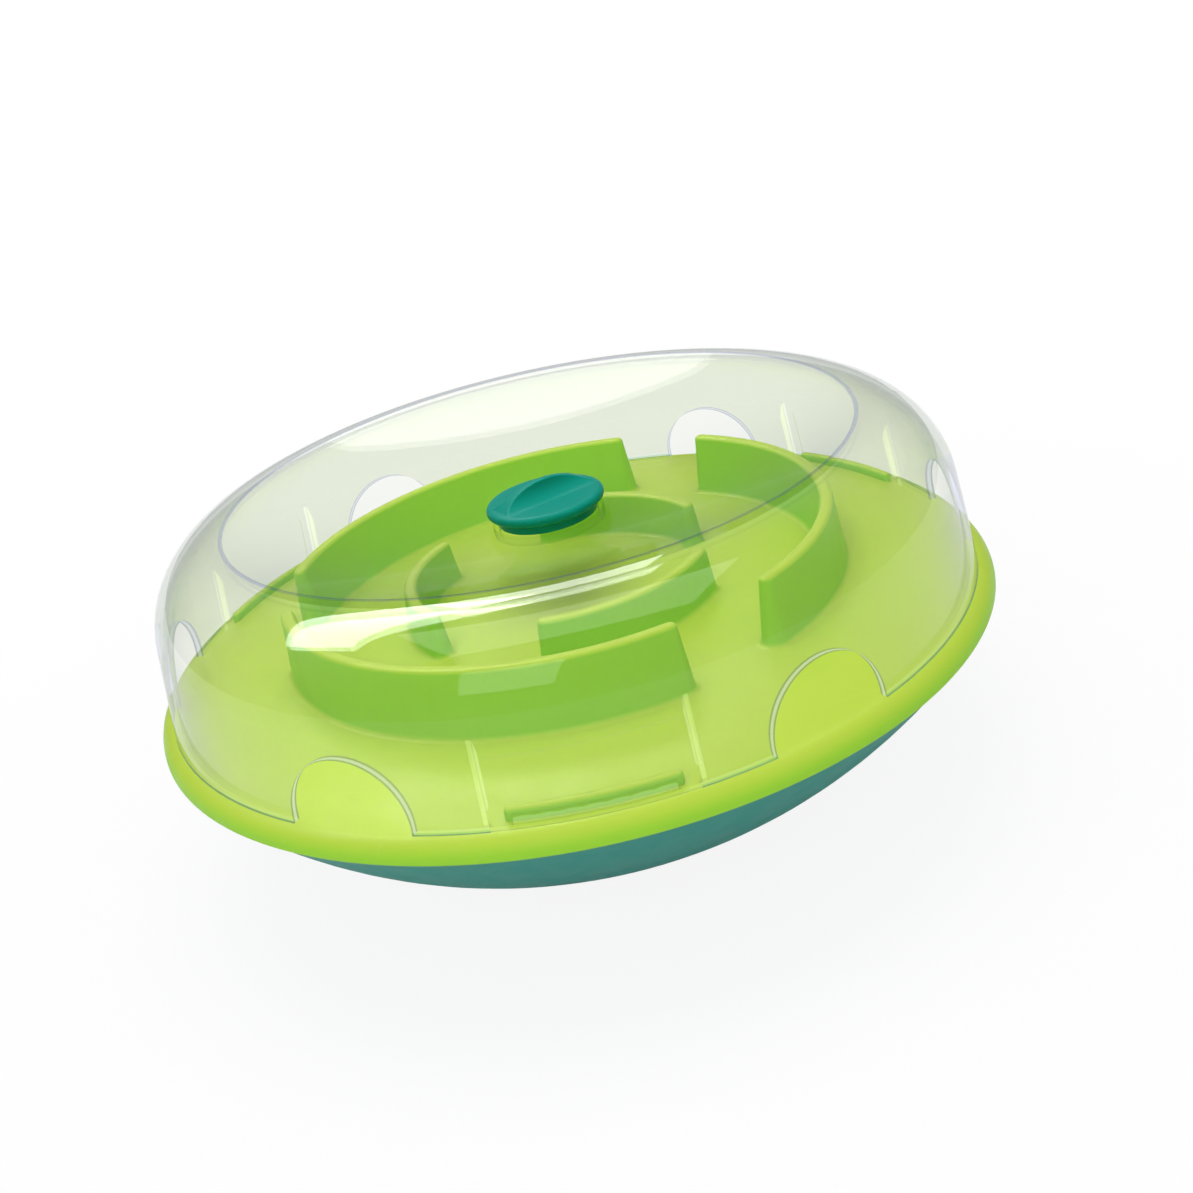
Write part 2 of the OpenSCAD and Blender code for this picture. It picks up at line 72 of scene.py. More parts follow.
class Bench:
    """Modelling moves made with Blender's own operators."""

    @staticmethod
    def clear_selection() -> None:
        """Leaves edit mode and deselects every object."""
        if bpy.context.object and bpy.context.object.mode != "OBJECT":
            bpy.ops.object.mode_set(mode="OBJECT")
        bpy.ops.object.select_all(action="DESELECT")

    @staticmethod
    def start_line(name: str, points: Sequence[Vector]) -> bpy.types.Object:
        """Draws an open line of vertices and stays in edit mode with its last vertex selected.

        Args:
            name: Name of the new object.
            points: Places of the vertices in metres.

        Returns:
            The new object.
        """
        Bench.clear_selection()
        bpy.ops.mesh.primitive_plane_add(size=MM)
        piece = bpy.context.object
        piece.name = piece.data.name = name
        bpy.ops.object.mode_set(mode="EDIT")
        bpy.ops.mesh.select_mode(type="VERT")
        bpy.ops.mesh.merge(type="CENTER")
        bpy.ops.transform.translate(value=points[0])
        for last, point in zip(points, points[1:]):
            bpy.ops.mesh.extrude_region_move(TRANSFORM_OT_translate={"value": point - last})
        return piece

    @staticmethod
    def pick(piece: bpy.types.Object, test: Callable[[Vector], bool]) -> None:
        """Selects, in edit mode, the vertices whose place passes a test.

        Args:
            piece: Object in edit mode.
            test: Says of a vertex's place whether it is wanted.
        """
        bpy.ops.mesh.select_mode(type="VERT")
        bpy.ops.mesh.select_all(action="DESELECT")
        bpy.ops.object.mode_set(mode="OBJECT")
        for vertex in piece.data.vertices:
            vertex.select = test(vertex.co)
        bpy.ops.object.mode_set(mode="EDIT")

    @staticmethod
    def turn(degrees: float, centre: Vector, steps: int) -> None:
        """Spins the selection anticlockwise about an upright axis and leaves its far end selected.

        Args:
            degrees: Angle to spin through, seen from above.
            centre: Any point of the axis.
            steps: Number of segments.
        """
        bpy.ops.mesh.spin(steps=steps, angle=math.radians(degrees), center=centre, axis=(0, 0, -1))

    @staticmethod
    def finish(piece: bpy.types.Object, smooth_angle: float = 35.0) -> bpy.types.Object:
        """Merges doubles, turns the faces outwards and shades the piece.

        Args:
            piece: Object in edit mode.
            smooth_angle: Edges sharper than this many degrees stay crisp.

        Returns:
            The same object, in object mode.
        """
        bpy.ops.mesh.select_all(action="SELECT")
        bpy.ops.mesh.remove_doubles(threshold=MERGE_M)
        bpy.ops.mesh.normals_make_consistent(inside=False)
        bpy.ops.object.mode_set(mode="OBJECT")
        bpy.ops.object.shade_smooth_by_angle(angle=math.radians(smooth_angle))
        return piece

    @staticmethod
    def lathe(name: str, profile: Sequence[Point], steps: int) -> bpy.types.Object:
        """Turns a profile once round the upright axis.

        Args:
            name: Name of the new object.
            profile: Radius and height of each point in millimetres.
            steps: Segments round the axis.

        Returns:
            The turned object.
        """
        piece = Bench.start_line(name, [Vector((r, 0, z)) * MM for r, z in profile])
        bpy.ops.mesh.select_all(action="SELECT")
        Bench.turn(360, Vector(), steps)
        return Bench.finish(piece)

    @staticmethod
    def apply(piece: bpy.types.Object, kind: str, **settings: object) -> None:
        """Adds a modifier to a piece and applies it.

        Args:
            piece: Object in object mode.
            kind: Blender's name of the modifier.
            settings: Values of the modifier.
        """
        Bench.clear_selection()
        piece.select_set(True)
        bpy.context.view_layer.objects.active = piece
        modifier = piece.modifiers.new(kind.lower(), kind)
        for key, value in settings.items():
            setattr(modifier, key, value)
        bpy.ops.object.modifier_apply(modifier=modifier.name)

    @staticmethod
    def copy_turned(piece: bpy.types.Object, name: str, degrees: float) -> bpy.types.Object:
        """Copies a piece with its own mesh, turned about the toy's axis.

        Args:
            piece: Object to copy.
            name: Name of the copy.
            degrees: Anticlockwise turn, seen from above.

        Returns:
            The copy, with its turn applied to its mesh.
        """
        Bench.clear_selection()
        piece.select_set(True)
        bpy.context.view_layer.objects.active = piece
        bpy.ops.object.duplicate(linked=False)
        copy = bpy.context.object
        copy.name = copy.data.name = name
        copy.matrix_world = Matrix.Rotation(math.radians(degrees), 4, "Z")
        bpy.ops.object.transform_apply(location=True, rotation=True, scale=True)
        return copy


def arc(centre: Point, radius: float, first: float, last: float, steps: int) -> list[Point]:
    """Gives points along an arc.

    Args:
        centre: Middle of the arc.
        radius: Radius of the arc.
        first: Angle of the first point in degrees.
        last: Angle of the last point in degrees.
        steps: Number of segments.

    Returns:
        The points, both ends included.
    """
    angles = [math.radians(first + (last - first) * i / steps) for i in range(steps + 1)]
    return [(centre[0] + radius * math.cos(a), centre[1] + radius * math.sin(a)) for a in angles]


def at_angle(radius: float, degrees: float) -> Vector:
    """Gives the level place, in metres, at a radius in millimetres and an angle about the toy's axis."""
    a = math.radians(degrees)
    return Vector((math.cos(a), math.sin(a), 0)) * radius * MM


class NodeSheet:
    """A shader node tree with short ways to add and join nodes."""

    def __init__(self, tree: bpy.types.NodeTree) -> None:
        """Keeps the tree that nodes are added to."""
        self.tree = tree

    def add(self, kind: str, **settings: object) -> bpy.types.Node:
        """Adds a node.

        Args:
            kind: Blender's name of the node, without its ShaderNode start.
            settings: Properties of the node.

        Returns:
            The node.
        """
        node = self.tree.nodes.new(kind if kind.startswith("NodeGroup") else f"ShaderNode{kind}")
        for key, value in settings.items():
            setattr(node, key, value)
        return node

    def set(self, into: bpy.types.NodeSocket, value: object) -> None:
        """Links a socket, or writes a plain value, into an input.

        Args:
            into: The input.
            value: Socket or plain value.
        """
        if isinstance(value, bpy.types.NodeSocket):
            self.tree.links.new(value, into)
        else:
            into.default_value = value

    @staticmethod
    def hold(node: bpy.types.Node, values: dict[str, object]) -> None:
        """Writes plain values into a node's inputs.

        Args:
            node: The node.
            values: Values by the names of its inputs.
        """
        for key, value in values.items():
            node.inputs[key].default_value = value

    def math(self, operation: str, *values: object) -> bpy.types.NodeSocket:
        """Adds a Math node.

        Args:
            operation: Name of the operation.
            values: Sockets or numbers for its inputs.

        Returns:
            Its result.
        """
        node = self.add("Math", operation=operation)
        for into, value in zip(node.inputs, values):
            self.set(into, value)
        return node.outputs[0]

    def ramp(self, value: object, low: float, high: float, to_low: float = 0.0,
             to_high: float = 1.0) -> bpy.types.NodeSocket:
        """Maps a value from one range to another, with eased ends, and holds it there.

        Args:
            value: Socket to map.
            low: Start of the range.
            high: End of the range.
            to_low: Result at the start.
            to_high: Result at the end.

        Returns:
            The mapped value.
        """
        node = self.add("MapRange", interpolation_type="SMOOTHSTEP", clamp=True)
        for into, number in zip(node.inputs, (value, low, high, to_low, to_high)):
            self.set(into, number)
        return node.outputs[0]

    def mix(self, share: object, first: object, second: object) -> bpy.types.NodeSocket:
        """Mixes two colours.

        Args:
            share: Share of the second colour.
            first: First colour.
            second: Second colour.

        Returns:
            The mixed colour.
        """
        node = self.add("Mix", data_type="RGBA", clamp_factor=True)
        for index, value in ((0, share), (6, first), (7, second)):
            self.set(node.inputs[index], value)
        return node.outputs[2]

    def noise(self, place: object, scale: object, detail: float = 2.0,
              roughness: float = 0.5) -> bpy.types.NodeSocket:
        """Adds a noise texture.

        Args:
            place: Coordinates that it reads.
            scale: Its scale.
            detail: Number of finer layers.
            roughness: Weight of the finer layers.

        Returns:
            Its grey value.
        """
        node = self.add("TexNoise")
        values = {"Vector": place, "Scale": scale, "Detail": detail, "Roughness": roughness}
        for key, value in values.items():
            self.set(node.inputs[key], value)
        return node.outputs[0]

    def place(self, group: bpy.types.NodeTree, **values: object) -> bpy.types.Node:
        """Places a shared group with its own values.

        Args:
            group: The group.
            values: Its inputs by name, with _ for a space.

        Returns:
            The group's node.
        """
        node = self.add("Group", node_tree=group)
        for key, value in values.items():
            self.set(node.inputs[key.replace("_", " ")], value)
        return node

    def roughen(self, shader: bpy.types.Node, height: bpy.types.NodeSocket, depth: float,
                strength: float = 1.0) -> None:
        """Bends a shader's normals by a height.

        Args:
            shader: The shader.
            height: The height.
            depth: What a height of 1 stands for in millimetres.
            strength: How strongly it shows.
        """
        bump = self.add("Bump")
        self.hold(bump, {"Distance": depth * MM, "Strength": strength})
        self.set(bump.inputs["Height"], height)
        self.set(shader.inputs["Normal"], bump.outputs[0])

    def blend(self, share: bpy.types.NodeSocket, first: bpy.types.Node, second: bpy.types.Node) -> None:
        """Makes a blend of two shaders the material's surface.

        Args:
            share: Share of the second shader.
            first: First shader.
            second: Second shader.
        """
        both = self.add("MixShader")
        for into, value in zip(both.inputs, (share, first.outputs[0], second.outputs[0])):
            self.set(into, value)
        self.set(self.tree.nodes["Material Output"].inputs["Surface"], both.outputs[0])


GroupParts = tuple[bpy.types.NodeTree, NodeSheet, bpy.types.Node, bpy.types.Node]


def shared_group(name: str, takes: dict[str, str], gives: Sequence[str]) -> GroupParts:
    """Starts a shared shader group.

    Args:
        name: Name of the group.
        takes: Names and kinds of its inputs.
        gives: Names of its outputs, which are plain values.

    Returns:
        The group, its sheet, its input node and its output node.
    """
    tree = bpy.data.node_groups.new(name, "ShaderNodeTree")
    for key, kind in takes.items():
        tree.interface.new_socket(key, in_out="INPUT", socket_type=f"NodeSocket{kind}")
    for key in gives:
        tree.interface.new_socket(key, in_out="OUTPUT", socket_type="NodeSocketFloat")
    sheet = NodeSheet(tree)
    return tree, sheet, sheet.add("NodeGroupInput"), sheet.add("NodeGroupOutput")


def moulded_skin_group() -> bpy.types.NodeTree:
    """Makes the skin of a moulding: slow clouds of tone and a fine spark-eroded grain.

    Returns:
        The group. Cloud runs from 0 to 1 over centimetres, Grain is a height, and Sheen is a slow change of
        gloss.
    """
    takes = {"Vector": "Vector", "Cloud Scale": "Float", "Grain Scale": "Float"}
    tree, sheet, inside, out = shared_group("moulded_skin", takes, ("Cloud", "Grain", "Sheen"))
    cloud_detail, cloud_rough, grain_rough, sheen_to_cloud = 3.0, 0.55, 0.6, 3.1
    place, slow = inside.outputs["Vector"], inside.outputs["Cloud Scale"]
    cloud = sheet.noise(place, slow, cloud_detail, cloud_rough)
    sheet.set(out.inputs["Cloud"], sheet.ramp(cloud, *NOISE_RANGE))
    grain = sheet.noise(place, inside.outputs["Grain Scale"], roughness=grain_rough)
    sheet.set(out.inputs["Grain"], grain)
    sheen = sheet.noise(place, sheet.math("MULTIPLY", slow, sheen_to_cloud))
    sheet.set(out.inputs["Sheen"], sheen)
    return tree


def hairline_group() -> bpy.types.NodeTree:
    """Makes the faint hairlines that handling leaves in patches.

    Returns:
        The group. Mark is 1 on a hairline.
    """
    takes = {"Vector": "Vector", "Scale": "Float", "Cover": "Float"}
    tree, sheet, inside, out = shared_group("handling_marks", takes, ("Mark",))
    core, fade, patch_scale = 0.004, 0.016, 1.7
    turned, stretched = (0.3, 0.2, 0.7), (1.0, 6.0, 1.6)
    stretch = sheet.add("Mapping")
    sheet.set(stretch.inputs["Vector"], inside.outputs["Vector"])
    sheet.hold(stretch, {"Rotation": turned, "Scale": stretched})
    cells = sheet.add("TexVoronoi", feature="DISTANCE_TO_EDGE")
    sheet.set(cells.inputs["Vector"], stretch.outputs[0])
    sheet.set(cells.inputs["Scale"], inside.outputs["Scale"])
    line = sheet.ramp(cells.outputs["Distance"], core, fade, 1.0, 0.0)
    spacing = sheet.math("MULTIPLY", inside.outputs["Scale"], patch_scale)
    patch = sheet.noise(inside.outputs["Vector"], spacing)
    bare = sheet.math("SUBTRACT", 1.0, inside.outputs["Cover"])
    shown = sheet.math("GREATER_THAN", patch, bare)
    sheet.set(out.inputs["Mark"], sheet.math("MULTIPLY", line, shown))
    return tree


MOULDED_SKIN = moulded_skin_group()
HANDLING_MARKS = hairline_group()


def new_material(name: str) -> tuple[bpy.types.Material, NodeSheet, bpy.types.Node]:
    """Starts a material.

    Args:
        name: Name of the material.

    Returns:
        The material, its sheet, and its Principled shader.
    """
    material = bpy.data.materials.new(name)
    material.use_nodes = True
    nodes = material.node_tree.nodes
    return material, NodeSheet(material.node_tree), nodes["Principled BSDF"]


@dataclass(frozen=True)
class MouldedFinish:
    """Satin moulded plastic, whose level faces and upright faces take different colours: a painted light
    and shade by facing.

    Attributes:
        name: Name of the material.
        level: Colour of faces that look up or down, as they look under the light from above.
        upright: Colour of faces that look sideways, painted light and shade for the different light that
            they get.
        shade: Share by which the clouds darken the colour.
        gloss: Roughness of the cleanest places.
        spread: How much rougher the dullest places are.
        grain: Depth of the grain in millimetres.
        grain_scale: Grains to a metre.
        cloud_scale: Clouds to a metre.
        cover: Share of the surface that hairlines reach.
        mark_scale: Hairlines to a metre.
        mark_tint: How pale a hairline is.
        mark_dull: How much rougher a hairline is.
        mark_depth: Depth of a hairline, in depths of the grain.
        bump_strength: How strongly grain and hairlines show.
        index: Refractive index.
        glow_reach: How far light runs under the surface in millimetres.
        glow_share: How far it runs in red, green and blue.
        glow: Share of light that scatters under the surface.
        mirror: Strength of the gloss, 0.5 being that of plain plastic.
        slope_range: Upward facing at which the painted upright tone starts to change, and at which it is
            all level.
        pale: Colour of worn or thin edges, mixed in along hairlines.
    """

    name: str
    level: Colour
    upright: Colour
    pale: Colour
    shade: float = 0.06
    gloss: float = 0.32
    spread: float = 0.1
    grain: float = 0.012
    grain_scale: float = 2600.0
    cloud_scale: float = 28.0
    cover: float = 0.42
    mark_scale: float = 21.0
    mark_tint: float = 0.05
    mark_dull: float = 0.1
    mark_depth: float = 0.5
    bump_strength: float = 0.6
    index: float = 1.47
    glow_reach: float = 1.2
    glow_share: tuple[float, float, float] = (0.5, 1.0, 0.2)
    glow: float = 0.0
    mirror: float = 0.5
    slope_range: Point = (0.1, 1.0)

    def material(self) -> bpy.types.Material:
        """Makes the material.

        Returns:
            The material.
        """
        material, sheet, shader = new_material(self.name)
        where = sheet.add("TexCoord")
        place = where.outputs["Object"]
        skin = sheet.place(MOULDED_SKIN, Vector=place, Cloud_Scale=self.cloud_scale,
                           Grain_Scale=self.grain_scale).outputs
        marks = sheet.place(HANDLING_MARKS, Vector=place, Scale=self.mark_scale, Cover=self.cover)
        mark = marks.outputs["Mark"]
        facing = sheet.add("SeparateXYZ")
        sheet.set(facing.inputs[0], where.outputs["Normal"])
        slope = sheet.ramp(sheet.math("ABSOLUTE", facing.outputs["Z"]), *self.slope_range)
        # Painted light and shade: upright and level faces take different colours.
        tone = sheet.mix(slope, self.upright, self.level)
        dark = tuple(c * (1.0 - 2.0 * self.shade) for c in self.level[:3]) + (1.0,)
        tone = sheet.mix(sheet.math("MULTIPLY", skin["Cloud"], self.shade), tone, dark)
        tone = sheet.mix(sheet.math("MULTIPLY", mark, self.mark_tint), tone, self.pale)
        sheet.set(shader.inputs["Base Color"], tone)
        rough = sheet.ramp(skin["Sheen"], *NOISE_RANGE, self.gloss, self.gloss + self.spread)
        rough = sheet.math("ADD", rough, sheet.math("MULTIPLY", mark, self.mark_dull))
        sheet.set(shader.inputs["Roughness"], rough)
        height = sheet.math("SUBTRACT", skin["Grain"], sheet.math("MULTIPLY", mark, self.mark_depth))
        sheet.roughen(shader, height, self.grain, self.bump_strength)
        sheet.hold(shader, {"IOR": self.index, "Specular IOR Level": self.mirror,
                            "Subsurface Weight": self.glow, "Subsurface Radius": self.glow_share,
                            "Subsurface Scale": self.glow_reach * MM})
        return material


@dataclass(frozen=True)
class ClearFinish:
    """Clear plastic with a faint tint, whose cut edges, ridge, ribs and foot carry painted highlights and
    painted shade.

    Attributes:
        name: Name of the material.
        dish: Colour of light straight through one face inside the ridge.
        wall_tone: Colour of light straight through one face outside the ridge.
        painted_grazing_shade: Colour of light through a face seen edge-on, a painted shade that darkens the
            lid's silhouettes.
        edge: Colour of light through cut edges and along the ridge, a painted violet grey shade.
        shade: Colour of light through the foot, a painted shade for the dark contact line where it sits on
            the flange.
        dish_shine: Weight of the mirroring coat inside the ridge.
        wall_shine: Weight of the mirroring coat outside the ridge.
        painted_cut_glow: Painted highlight: light that the middle of a cut edge gives off.
        painted_line_glow: Painted light: faint light that the borders of a cut edge, the ridge and the foot
            line give off.
        painted_rib_glow: Painted highlight: light that the ribs give off.
        index: Refractive index, next to none because thin walls hardly bend what is seen through them.
        gloss: Roughness of the cleanest places.
        spread: How much rougher the dullest places are.
        shadow: Share of light that a shadow ray keeps at each face.
        ridge_r: Radius of the ridge in millimetres.
        ridge_z: Height of the ridge in millimetres.
        foot_r: Inner radius of the wall at its foot in millimetres.
        foot_z: Height of the wall's foot in millimetres.
        slope: Millimetres that the wall leans in for each one up.
        wall: Thickness of the wall, along a radius, in millimetres.
        arch_h: Height that the arches reach above the foot in millimetres.
        rib_h: Height that the ribs reach above the foot in millimetres.
        foot_line: Height of the painted pale line along the foot in millimetres.
        foot_shade: Height of the painted dark line below it in millimetres.
        cut_middle: Half width of a cut edge's painted bright middle, and where it has faded, as shares of
            the wall.
        ridge_line: Half width of the painted ridge line, and where it has faded, in millimetres.
        lug_turn: Angle from the first axis back to a lug in degrees.
        lug_half: Angle from a lug to the next gap between lugs in degrees.
        rib_turn: Angle from a lug within which its ribs stand in degrees.
        rib_depth: Nearest and farthest that ribs stand inside the wall in millimetres.
        graze_range: Layer Weight at which the painted grazing shade starts, and at which it is full.
        coat_index: Refractive index of the mirroring coat.
        coat_gloss: Roughness of the mirroring coat.
        cloud_scale: Clouds to a metre.
        cover: Share of the surface that hairlines reach.
        mark_scale: Hairlines to a metre.
        mark_dull: How much rougher a hairline is.
        sheen_range: Sheen at which the surface starts to dull, and at which it is dullest.
        wave: Height of the moulding's slow waves in millimetres.
        wave_strength: How strongly they show.
    """

    name: str = "clear_lid_plastic"
    dish: Colour = (0.93, 0.945, 0.91, 1.0)
    wall_tone: Colour = (0.885, 0.912, 0.828, 1.0)
    painted_grazing_shade: Colour = (0.56, 0.6, 0.62, 1.0)
    edge: Colour = (0.36, 0.38, 0.5, 1.0)
    shade: Colour = (0.42, 0.7, 0.42, 1.0)
    dish_shine: float = 0.2
    wall_shine: float = 0.9
    painted_cut_glow: Colour = (0.27, 0.28, 0.33, 1.0)
    painted_line_glow: Colour = (0.02, 0.022, 0.06, 1.0)
    painted_rib_glow: Colour = (0.15, 0.16, 0.11, 1.0)
    index: float = 1.001
    gloss: float = 0.02
    spread: float = 0.05
    shadow: Colour = (0.985, 0.99, 0.983, 1.0)
    ridge_r: float = 103.6
    ridge_z: float = 125.9
    foot_r: float = 132.68
    foot_z: float = 72.5
    slope: float = 0.1228
    wall: float = 2.52
    arch_h: float = 22.0
    rib_h: float = 25.6
    foot_line: float = 1.7
    foot_shade: float = 0.9
    cut_middle: Point = (0.14, 0.3)
    ridge_line: Point = (0.45, 0.9)
    lug_turn: float = 90.0
    lug_half: float = 60.0
    rib_turn: float = 15.0
    rib_depth: Point = (0.7, 6.0)
    graze_range: Point = (0.55, 1.0)
    coat_index: float = 1.4
    coat_gloss: float = 0.03
    cloud_scale: float = 16.0
    cover: float = 0.4
    mark_scale: float = 17.0
    mark_dull: float = 0.08
    sheen_range: Point = (0.35, 0.75)
    wave: float = 0.004
    wave_strength: float = 0.5

    def material(self) -> bpy.types.Material:
        """Makes the material.

        Returns:
            The material.
        """
        material, sheet, shader = new_material(self.name)
        where = sheet.add("TexCoord")
        place = where.outputs["Object"]
        skin = sheet.place(MOULDED_SKIN, Vector=place, Cloud_Scale=self.cloud_scale)
        marks = sheet.place(HANDLING_MARKS, Vector=place, Scale=self.mark_scale, Cover=self.cover)
        masks = sheet.place(self.form_group(), Vector=place, Normal=where.outputs["Normal"]).outputs
        grazing = sheet.ramp(sheet.add("LayerWeight").outputs["Facing"], *self.graze_range)
        straight = sheet.mix(masks["Wall"], self.dish, self.wall_tone)
        # Painted shade: faces seen edge-on take a darker grey.
        tone = sheet.mix(grazing, straight, self.painted_grazing_shade)
        # Painted shade: a dark green line along the foot.
        tone = sheet.mix(masks["Shade"], tone, self.shade)
        # Painted shade: cut faces and the ridge take a violet grey.
        sheet.set(shader.inputs["Base Color"], sheet.mix(masks["Edge"], tone, self.edge))
        plain = sheet.math("SUBTRACT", 1.0, sheet.math("MAXIMUM", masks["Edge"], masks["Shade"]))
        shine = sheet.ramp(masks["Wall"], 0.0, 1.0, self.dish_shine, self.wall_shine)
        sheet.set(shader.inputs["Coat Weight"], sheet.math("MULTIPLY", plain, shine))
        # Painted highlights: ribs, cut edges, their borders, the ridge and the foot line give off light of
        # their own.
        glow = sheet.mix(masks["Rib"], (0.0, 0.0, 0.0, 1.0), self.painted_rib_glow)
        glow = sheet.mix(masks["Line"], glow, self.painted_line_glow)
        sheet.set(shader.inputs["Emission Color"], sheet.mix(masks["Cut"], glow, self.painted_cut_glow))
        rough = sheet.ramp(skin.outputs["Sheen"], *self.sheen_range, self.gloss, self.gloss + self.spread)
        rough = sheet.math("ADD", rough, sheet.math("MULTIPLY", marks.outputs["Mark"], self.mark_dull))
        sheet.set(shader.inputs["Roughness"], rough)
        sheet.roughen(shader, skin.outputs["Cloud"], self.wave, self.wave_strength)
        sheet.hold(shader, {"Transmission Weight": 1.0, "IOR": self.index, "Emission Strength": 1.0,
                            "Coat IOR": self.coat_index, "Coat Roughness": self.coat_gloss})
        self.let_light_through(sheet, shader)
        return material

    def form_group(self) -> bpy.types.NodeTree:
        """Makes the group that finds the lid's features from the place and facing of its surface.

        Returns:
            The group. Edge is 1 on a cut face and along the ridge, Cut in the middle of a cut face, Line
            along its borders, the ridge and the foot, Rib on the ribs and beads, Shade at the foot, and
            Wall outside the ridge.
        """
        gives = ("Edge", "Cut", "Line", "Rib", "Shade", "Wall")
        tree, sheet, inside, out = shared_group("lid_form", {"Vector": "Vector", "Normal": "Vector"}, gives)
        step, across, ridge_depth, outer_depth = 0.05 * MM, (0.3, 0.5), 0.8, 0.4
        place, facing = sheet.add("SeparateXYZ"), sheet.add("SeparateXYZ")
        sheet.set(place.inputs[0], inside.outputs["Vector"])
        sheet.set(facing.inputs[0], inside.outputs["Normal"])
        x, y, z = place.outputs
        squares = [sheet.math("MULTIPLY", side, side) for side in (x, y)]
        radius = sheet.math("SQRT", sheet.math("ADD", *squares))
        along = [sheet.math("MULTIPLY", side, facing.outputs[key]) for side, key in ((x, "X"), (y, "Y"))]
        outward = sheet.math("ABSOLUTE", sheet.math("DIVIDE", sheet.math("ADD", *along), radius))
        sideways = sheet.ramp(outward, *across, 1.0, 0.0)
        rise = sheet.math("SUBTRACT", z, self.foot_z * MM)
        inner = sheet.math("SUBTRACT", self.foot_r * MM, sheet.math("MULTIPLY", rise, self.slope))
        depth = sheet.math("SUBTRACT", radius, inner)
        in_wall = sheet.math("GREATER_THAN", depth, -step)
        low = sheet.math("LESS_THAN", rise, self.arch_h * MM)
        turn = sheet.math("ADD", sheet.math("ARCTAN2", y, x), math.radians(self.lug_turn))
        off_lug = sheet.math("PINGPONG", turn, math.radians(self.lug_half))
        beside = sheet.math("GREATER_THAN", off_lug, math.radians(self.rib_turn))
        at_foot = sheet.math("LESS_THAN", rise, step)
        shown = sheet.math("MULTIPLY", in_wall, low)
        shown = sheet.math("MULTIPLY", shown, sheet.math("MAXIMUM", beside, at_foot))
        face = sheet.math("MULTIPLY", sideways, shown)
        off_middle = sheet.math("ABSOLUTE", sheet.math("SUBTRACT", depth, self.wall / 2 * MM))
        middle = sheet.ramp(off_middle, *(self.wall * share * MM for share in self.cut_middle), 1.0, 0.0)
        near = sheet.math("ABSOLUTE", sheet.math("SUBTRACT", radius, self.ridge_r * MM))
        ridge = sheet.ramp(near, *(half * MM for half in self.ridge_line), 1.0, 0.0)
        high = sheet.math("GREATER_THAN", z, (self.ridge_z - ridge_depth) * MM)
        ridge = sheet.math("MULTIPLY", ridge, high)
        sheet.set(out.inputs["Edge"], sheet.math("MAXIMUM", face, ridge))
        sheet.set(out.inputs["Cut"], sheet.math("MULTIPLY", face, middle))
        border = sheet.math("MULTIPLY", face, sheet.math("SUBTRACT", 1.0, middle))
        outer = sheet.math("GREATER_THAN", depth, (self.wall - outer_depth) * MM)
        foot_line = sheet.math("MULTIPLY", outer, sheet.math("LESS_THAN", rise, self.foot_line * MM))
        line = sheet.math("MAXIMUM", sheet.math("MAXIMUM", border, ridge), foot_line)
        sheet.set(out.inputs["Line"], line)
        within = sheet.math("LESS_THAN", depth, -self.rib_depth[0] * MM)
        within = sheet.math("MULTIPLY", within, sheet.math("SUBTRACT", 1.0, beside))
        behind = sheet.math("GREATER_THAN", depth, -self.rib_depth[1] * MM)
        ribbed = sheet.math("LESS_THAN", rise, self.rib_h * MM)
        sheet.set(out.inputs["Rib"], sheet.math("MULTIPLY", sheet.math("MULTIPLY", within, behind), ribbed))
        foot = sheet.math("MULTIPLY", outer, sheet.math("LESS_THAN", rise, self.foot_shade * MM))
        sheet.set(out.inputs["Shade"], foot)
        sheet.set(out.inputs["Wall"], sheet.math("GREATER_THAN", radius, self.ridge_r * MM))
        return tree

    def let_light_through(self, sheet: NodeSheet, shader: bpy.types.Node) -> None:
        """Lets lamp light and bounced light pass, so that the lid doesn't darken what is under it.

        Args:
            sheet: Sheet of the material.
            shader: Its Principled shader.
        """
        path = sheet.add("LightPath")
        passing = sheet.math("MAXIMUM", path.outputs["Is Shadow Ray"], path.outputs["Is Diffuse Ray"])
        clear = sheet.add("BsdfTransparent")
        clear.inputs["Color"].default_value = self.shadow
        sheet.blend(passing, shader, clear)


@dataclass(frozen=True)
class MetalFinish:
    """Bare or plated metal with a worn grain.

    Attributes:
        name: Name of the material.
        bright: Colour of clean metal.
        dull: Colour of dull patches.
        gloss: Roughness of clean metal.
        spread: How much rougher dull patches are.
        grain: Depth of the grain in millimetres.
        cloud_scale: Clouds to a metre.
        grain_scale: Grains to a metre.
    """

    name: str
    bright: Colour
    dull: Colour
    gloss: float
    spread: float
    grain: float
    cloud_scale: float = 160.0
    grain_scale: float = 1500.0

    def material(self) -> bpy.types.Material:
        """Makes the material.

        Returns:
            The material.
        """
        material, sheet, shader = new_material(self.name)
        where = sheet.add("TexCoord")
        skin = sheet.place(MOULDED_SKIN, Vector=where.outputs["Object"], Cloud_Scale=self.cloud_scale,
                           Grain_Scale=self.grain_scale)
        sheet.set(shader.inputs["Base Color"], sheet.mix(skin.outputs["Cloud"], self.bright, self.dull))
        rough = sheet.ramp(skin.outputs["Sheen"], *NOISE_RANGE, self.gloss, self.gloss + self.spread)
        sheet.set(shader.inputs["Roughness"], rough)
        sheet.roughen(shader, skin.outputs["Grain"], self.grain)
        sheet.hold(shader, {"Metallic": 1.0})
        return material


